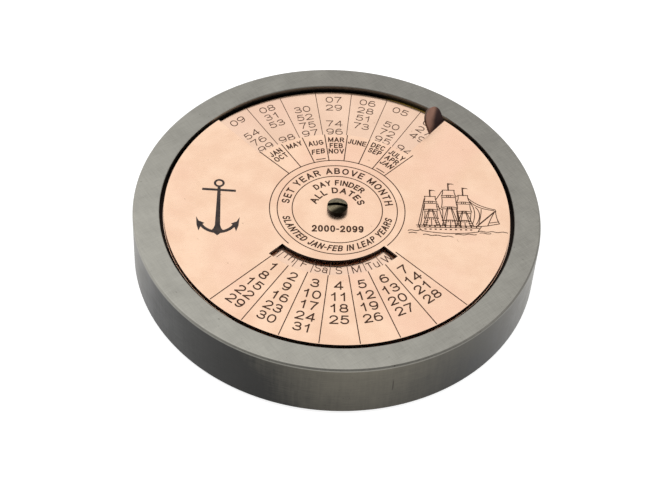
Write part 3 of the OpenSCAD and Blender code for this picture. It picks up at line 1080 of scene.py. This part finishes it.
def drawShip():
    ink = Inlay(plateTop)
    thin, heavy, deck = ship["line"], ship["heavy"], ship["deck"]
    lines = []
    # masts: x, pole from and to, then sails as (top, foot, half width above, half width below)
    masts = [
        (17.25, 3.75, 5.35, [(3.75, 2.3, 1.0, 1.2), (2.0, 0.3, 1.15, 1.35), (0.0, -1.8, 1.15, 1.3)]),
        (20.75, 5.45, 7.10, [(5.45, 3.9, 1.1, 1.35), (3.6, 1.0, 1.3, 1.5), (0.7, -2.3, 1.35, 1.5)]),
        (23.40, 4.20, 6.05, [(4.2, 2.3, 0.9, 1.3), (2.0, 0.0, 1.2, 1.4), (-0.3, -2.3, 1.25, 1.0)]),
    ]
    for x, low, high, sails in masts:
        ink.stroke([(x, low), (x, high)], heavy)
        pennant = np.array([(0, 0.10), (0, -0.28), (0.55, -0.12), (1.15, -0.22), (0.75, 0.02)])
        ink.shape(pennant + (x, high))
        lines.append(path((x, sails[-1][1]), (x, deck)))
        for top, foot, above, below in sails:
            lines.append(path((x - above, top), (x + above, top)))
            for side in (-1, 1):
                bulge = (x + side * (above - 0.12), (top + foot) / 2)
                lines.append(curve((x + side * above, top), bulge, (x + side * below, foot)))
            lines.append(curve((x - below, foot), (x, foot + 0.45), (x + below, foot)))
            for k in range(3):
                lines.append(path((x - 0.35 + 0.35 * k, foot + 0.22), (x - 0.35 + 0.35 * k, foot - 0.22)))
        for reach in (-1.6, -1.0, 1.0, 1.6):
            lines.append(path((x + reach * 0.25, sails[1][1]), (x + reach, deck)))
        for k in range(3):
            y = deck + 0.35 + 0.45 * k
            for side in (-1, 1):
                lines.append(path((x + side * (1.35 - 0.2 * k), y), (x + side * (0.85 - 0.12 * k), y)))
    # stays between the masts and down to the stern
    for a, b in (((16.15, 3.1), (14.75, deck)), ((18.3, 2.9), (19.5, 5.1)), ((22.0, 3.9), (22.4, 4.0)),
                 ((18.6, 1.2), (19.4, 0.4)), ((18.6, 1.9), (19.6, -3.4)), ((22.1, 0.9), (22.6, -3.3)),
                 ((16.1, 1.9), (15.2, -3.5))):
        lines.append(path(a, b))
    # bowsprit and jibs
    ink.stroke([(25.7, -3.35), (29.25, 0.45)], heavy)
    lines += [curve((24.4, 3.4), (26.0, 1.4), (29.2, 0.75)), curve((24.6, 2.7), (25.7, 0.9), (28.9, 0.55)),
              curve((24.7, 2.3), (25.9, 0.2), (24.8, -2.9)), curve((25.6, 1.2), (26.9, -0.4), (25.5, -3.0)),
              curve((26.6, 0.75), (26.5, -0.9), (25.9, -3.0)),
              curve((29.25, 0.4), (29.2, -1.3), (29.75, -2.75)),
              path((29.75, -2.75), (27.4, -3.35), (25.9, -3.55)),
              curve((29.0, 0.1), (28.2, -1.5), (27.55, -3.3)), path((27.9, -2.6), (29.65, -2.25))]
    # hull
    lines += [path((14.45, deck + 0.1), (26.4, deck + 0.1)), path((14.6, deck - 0.35), (25.9, deck - 0.35)),
              curve((14.95, deck - 0.3), (15.0, -4.5), (15.45, -4.85)),
              curve((26.4, -3.55), (26.0, -4.1), (25.65, -4.9)),
              curve((15.45, -4.85), (20.5, -5.9), (25.65, -4.9), steps=18)]
    for k in range(12):
        x = 15.0 + 0.95 * k
        ink.stroke([(x, deck + 0.1), (x, deck - 0.3)], heavy)
    for k in range(10):
        ink.stroke([(16.0 + 0.93 * k, -4.42), (16.12 + 0.93 * k, -4.42)], heavy)
    # water
    for x0, x1, y, rise in ((12.9, 15.3, -4.85, 0.12), (13.0, 14.4, -5.45, 0.1), (15.6, 18.0, -5.75, -0.2),
                            (17.8, 21.0, -5.95, -0.25), (25.8, 31.1, -4.75, -0.12),
                            (26.0, 28.0, -5.15, -0.08), (21.5, 25.3, -5.65, 0.15)):
        t = np.linspace(0, 1, 22)
        lines.append(np.stack([x0 + (x1 - x0) * t, y + rise * t + 0.10 * np.sin(t * (x1 - x0) * 3.2)], -1))
    ink.strokes(lines, thin)
    ink.make("ship_mark", "etch", "dial")


drawAnchor()
drawShip()
print("dial plate lettered")


# what the year disc says

years = {"turn": 0.58, "columns": 28, "firstColumn": 8, "rows": (29.9, 27.7, 25.5, 23.3, 21.1),
         "year": {"height": 1.62, "weight": 0.185, "gap": 0.28, "narrow": 1.48},
         "line": (19.3, 31.85), "dayLine": (12.2, 15.7), "lineWeight": 0.14,
         "days": ("S", "M", "Tu", "W", "Th", "F", "Sa"), "dayRadius": 14.1,
         "day": {"height": 1.72, "weight": 0.185, "gap": 0.2, "narrow": 1.15}}


def letterDisc():
    # the week moves on by one day a year and by two over a leap year, so a year's column is
    # the years plus the leap years so far, counted round the columns
    y = years
    step = 360 / y["columns"]
    ink = Inlay(discTop)
    for year in range(100):
        row, column = divmod(year + year // 4, y["columns"])
        direction = 90 + y["turn"] + (column - y["firstColumn"]) * step
        ink.write(radialText, "%02d" % year, direction, y["rows"][row], True, **y["year"])
    for k in range(y["columns"]):
        ink.stroke(spoke(90 + y["turn"] + (k + 0.5) * step, *y["line"]), y["lineWeight"])
        direction = 270 + y["turn"] + k * step
        ink.stroke(spoke(direction + step / 2, *y["dayLine"]), y["lineWeight"])
        ink.write(radialText, y["days"][k % 7], direction, y["dayRadius"], False, **y["day"])
    ink.make("disc_lettering", "faintEtch", "base")


letterDisc()
print("year disc lettered")


# floor and light

def addStage():
    low = -studio["floorDrop"] * mm     # a hair under the felt, so that the two never share a plane
    corners = [(x, y, low) for x, y in studio["floorSize"] * np.array([(-1, -1), (1, -1), (1, 1), (-1, 1)])]
    mesh = bpy.data.meshes.new("floor")
    mesh.from_pydata(corners, [], [[0, 1, 2, 3]])
    floor = addObject("floor", mesh)
    glow = {"Emission_Color": (1, 1, 1, 1), "Emission_Strength": studio["floorGlow"]}
    f = Finish("paleFloor", Base_Color=studio["floor"], Roughness=0.9, Specular_IOR_Level=0.1, **glow)
    floor.data.materials.append(f.material)


studio = {
    "floor": (0.55, 0.55, 0.55, 1), "floorGlow": 0.80,
    "floorSize": 3.0, "floorDrop": 0.05,        # metres to each side, mm
    "sky": 1.0, "dark": 0.52, "lean": 0.10,     # white at the back, dark where the viewer stands
    "skyline": (-0.12, 0.42),
    "lamps": [  # place, aim, width, height, watts
        ((-0.4, 0.0, 1.0), (0, 0, 0), 1.2, 1.2, 1.6),
        ((0.8, -0.1, 0.5), (0, 0, 0), 0.5, 0.5, 0.8),
    ],
}


def addLights():
    for k, (place, aim, width, height, power) in enumerate(studio["lamps"]):
        data = bpy.data.lights.new("softbox_%d" % k, "AREA")
        data.shape = "RECTANGLE"
        data.size = width
        data.size_y = height
        data.energy = power
        lamp = addObject("softbox_%d" % k, data)
        lamp.location = place
        lamp.rotation_euler = (Vector(aim) - Vector(place)).to_track_quat("-Z", "Y").to_euler()
    sky = Finish("studio", "Background", bpy.data.worlds, Color=(1, 1, 1, 1))
    x, y, z = sky.axes(sky.node("TexCoord", {}, {}, "Generated"))
    behind = y.above(*studio["skyline"])
    rise = studio["sky"] - studio["dark"]
    sky.feed(Strength=studio["dark"] + behind * rise - x * studio["lean"] * behind)
    bpy.context.scene.world = sky.material
    bpy.context.scene.view_settings.view_transform = "Standard"


addStage()
addLights()
print("stage and lights set")
